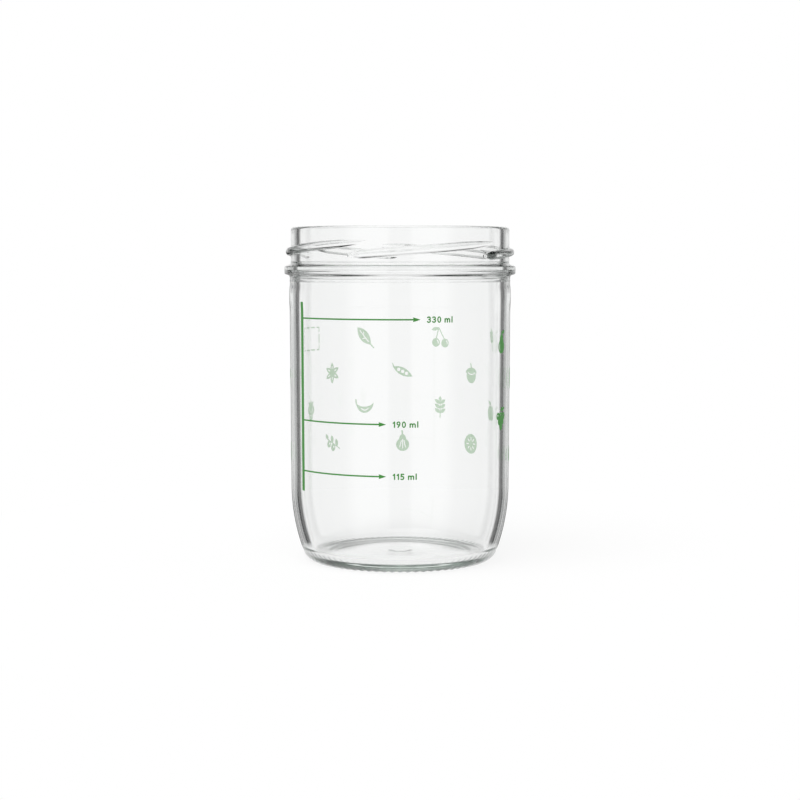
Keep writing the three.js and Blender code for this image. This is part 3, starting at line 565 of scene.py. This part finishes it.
# Brightness round the studio, each row a share of the half turn from -Y and the level there.
SIDES = (
    (0.0, 0.7), (0.06, 0.7), (0.08, 1.0), (0.3, 1.0), (0.34, 0.65), (0.66, 0.65), (0.7, 0.95), (0.74, 0.95),
    (0.76, 0.2), (0.78, 0.0), (0.802, 0.0),
)
BACKDROP_LOW = (
    (0.82, 0.03), (0.835, 0.5), (0.856, 0.55), (0.875, 0.7), (0.893, 0.95), (0.903, 0.02), (0.945, 0.02),
    (0.965, 0.6), (1.0, 1.0),
)
BACKDROP_FOOT = (
    (0.814, 0.35), (0.835, 0.55), (0.86, 0.75), (0.893, 0.95), (0.907, 0.4), (0.958, 0.4), (0.975, 1.0),
    (1.0, 1.0),
)
BACKDROP = ((0.818, 0.3), (0.84, 0.6), (0.88, 1.0), (1.0, 1.0))
CEILING = ((0.0, 0.04), (0.91, 0.04), (0.965, 0.8), (1.0, 0.8))

# The backdrop's upper bands, each with the rise of a ray over which it takes over from the band below.
BANDS = ((BACKDROP_FOOT, -0.16, -0.12), (BACKDROP, -0.02, 0.03))


def studio_round(tree, way, levels):
    """Brightness of the studio along a way: a ramp over the angle from -Y, nought to half a turn."""
    axes = add_node(tree, "ShaderNodeSeparateXYZ", {0: way})
    ahead = add_node(tree, "ShaderNodeMath", {0: axes.outputs["Y"], 1: -1.0}, operation="MULTIPLY")
    turn = add_node(tree, "ShaderNodeMath", {0: axes.outputs["X"], 1: ahead.outputs[0]}, operation="ARCTAN2")
    aside = add_node(tree, "ShaderNodeMath", {0: turn.outputs[0]}, operation="ABSOLUTE")
    share = add_node(tree, "ShaderNodeMath", {0: aside.outputs[0], 1: math.pi}, operation="DIVIDE")
    ramp = add_node(tree, "ShaderNodeValToRGB", {0: share.outputs[0]})
    for i, (place, level) in enumerate(levels):
        stop = ramp.color_ramp.elements[i] if i < 2 else ramp.color_ramp.elements.new(place)
        stop.position, stop.color = place, (level, level, level, 1.0)
    return ramp.outputs[0]


def mirrored_ray(tree, path):
    """One for a ray that has been mirrored at least once on its way, nought for any other."""
    depth = path.outputs["Glossy Depth"]
    return add_node(tree, "ShaderNodeMath", {0: depth, 1: 1.0}, operation="MINIMUM").outputs[0]


floor_mesh = bpy.data.meshes.new("floor_shape")
edge = np.concatenate([oval(0.0, 0.0, TABLE_R, TABLE_R, TABLE_SIDES), np.zeros((TABLE_SIDES, 1))], axis=1)
floor_mesh.from_pydata(edge.tolist(), [], [list(range(TABLE_SIDES))])
floor = bpy.data.objects.new("floor", floor_mesh)
scene.collection.objects.link(floor)

# White table: matt, with a glow towards the camera that leaves the jar's soft shadow. A mirrored ray sees it
# only close round the jar, where it is a painted shade: a plain glow a little under white for the dark under
# the base.
white_table, tree = new_material("white table")
path = add_node(tree, "ShaderNodeLightPath")
place = add_node(tree, "ShaderNodeTexCoord").outputs["Object"]
reach = add_node(tree, "ShaderNodeVectorMath", {0: place}, operation="LENGTH")
far = add_node(tree, "ShaderNodeMapRange", {0: reach.outputs["Value"], 1: NEAR_R, 2: FAR_R, 3: 0.0, 4: 1.0})
seen = add_node(tree, "ShaderNodeMath", {
    0: path.outputs["Is Camera Ray"], 1: path.outputs["Is Transmission Ray"],
}, operation="ADD", use_clamp=True)
share = add_node(tree, "ShaderNodeMath", {0: seen.outputs[0], 1: TABLE_GLOW}, operation="MULTIPLY")
matt = add_node(tree, "ShaderNodeBsdfDiffuse", {"Color": linear("#ffffff")})
plain = add_node(tree, "ShaderNodeEmission", {"Color": linear("#ffffff"), "Strength": 1.0})
lit = add_node(tree, "ShaderNodeMixShader", {0: share.outputs[0], 1: matt.outputs[0], 2: plain.outputs[0]})
# Painted shade round the jar: a plain glow a little under white, seen only by mirrored rays.
painted_shade_under_jar = add_node(tree, "ShaderNodeEmission", {"Color": linear("#ffffff"), "Strength": PAINTED_SHADE_UNDER_JAR})
through = add_node(tree, "ShaderNodeBsdfTransparent")
past = add_node(tree, "ShaderNodeMixShader", {
    0: far.outputs[0], 1: painted_shade_under_jar.outputs[0], 2: through.outputs[0],
})
both = add_node(tree, "ShaderNodeMixShader", {
    0: mirrored_ray(tree, path), 1: lit.outputs[0], 2: past.outputs[0],
})
add_node(tree, "ShaderNodeOutputMaterial", {"Surface": both.outputs[0]})
floor_mesh.materials.append(white_table)

world = bpy.data.worlds.new("studio")
world.use_nodes = True
scene.world = world
tree = world.node_tree
tree.nodes.clear()
path = add_node(tree, "ShaderNodeLightPath")
way = add_node(tree, "ShaderNodeTexCoord").outputs["Generated"]
up = add_node(tree, "ShaderNodeSeparateXYZ", {0: way}).outputs["Z"]
sides = studio_round(tree, way, SIDES + BACKDROP_LOW)
for levels, low, high in BANDS:
    climb = add_node(tree, "ShaderNodeMapRange", {0: up, 1: low, 2: high, 3: 0.0, 4: 1.0})
    above = studio_round(tree, way, SIDES + levels)
    sides = add_node(tree, "ShaderNodeMix", {
        0: climb.outputs[0], 2: sides, 3: above,
    }, data_type="FLOAT").outputs[0]
shown = add_node(tree, "ShaderNodeMix", {0: mirrored_ray(tree, path), 2: 1.0, 3: sides}, data_type="FLOAT")
ceiling = add_node(tree, "ShaderNodeMapRange", {
    0: up, 1: CEILING_FROM, 2: CEILING_TO, 3: 1.0, 4: studio_round(tree, way, CEILING),
}, interpolation_type="SMOOTHSTEP")
glass = add_node(tree, "ShaderNodeMath", {0: ceiling.outputs[0], 1: shown.outputs[0]}, operation="MULTIPLY")
soft = add_node(tree, "ShaderNodeMix", {
    0: path.outputs["Is Diffuse Ray"], 2: glass.outputs[0], 3: ROOM_LIGHT,
}, data_type="FLOAT")
level = add_node(tree, "ShaderNodeMix", {
    0: path.outputs["Is Camera Ray"], 2: soft.outputs[0], 3: 1.0,
}, data_type="FLOAT")
sky = add_node(tree, "ShaderNodeBackground", {"Color": linear("#ffffff"), "Strength": level.outputs[0]})
add_node(tree, "ShaderNodeOutputWorld", {"Surface": sky.outputs[0]})

lamp = bpy.data.objects.new("overhead_light", bpy.data.lights.new("overhead_light", "SUN"))
lamp.data.energy = SUN_LEVEL * math.pi
lamp.data.angle = math.radians(SUN_SPREAD)
lamp.rotation_euler = (math.radians(SUN_TIPPED), math.radians(SUN_ASIDE), 0.0)
scene.collection.objects.link(lamp)
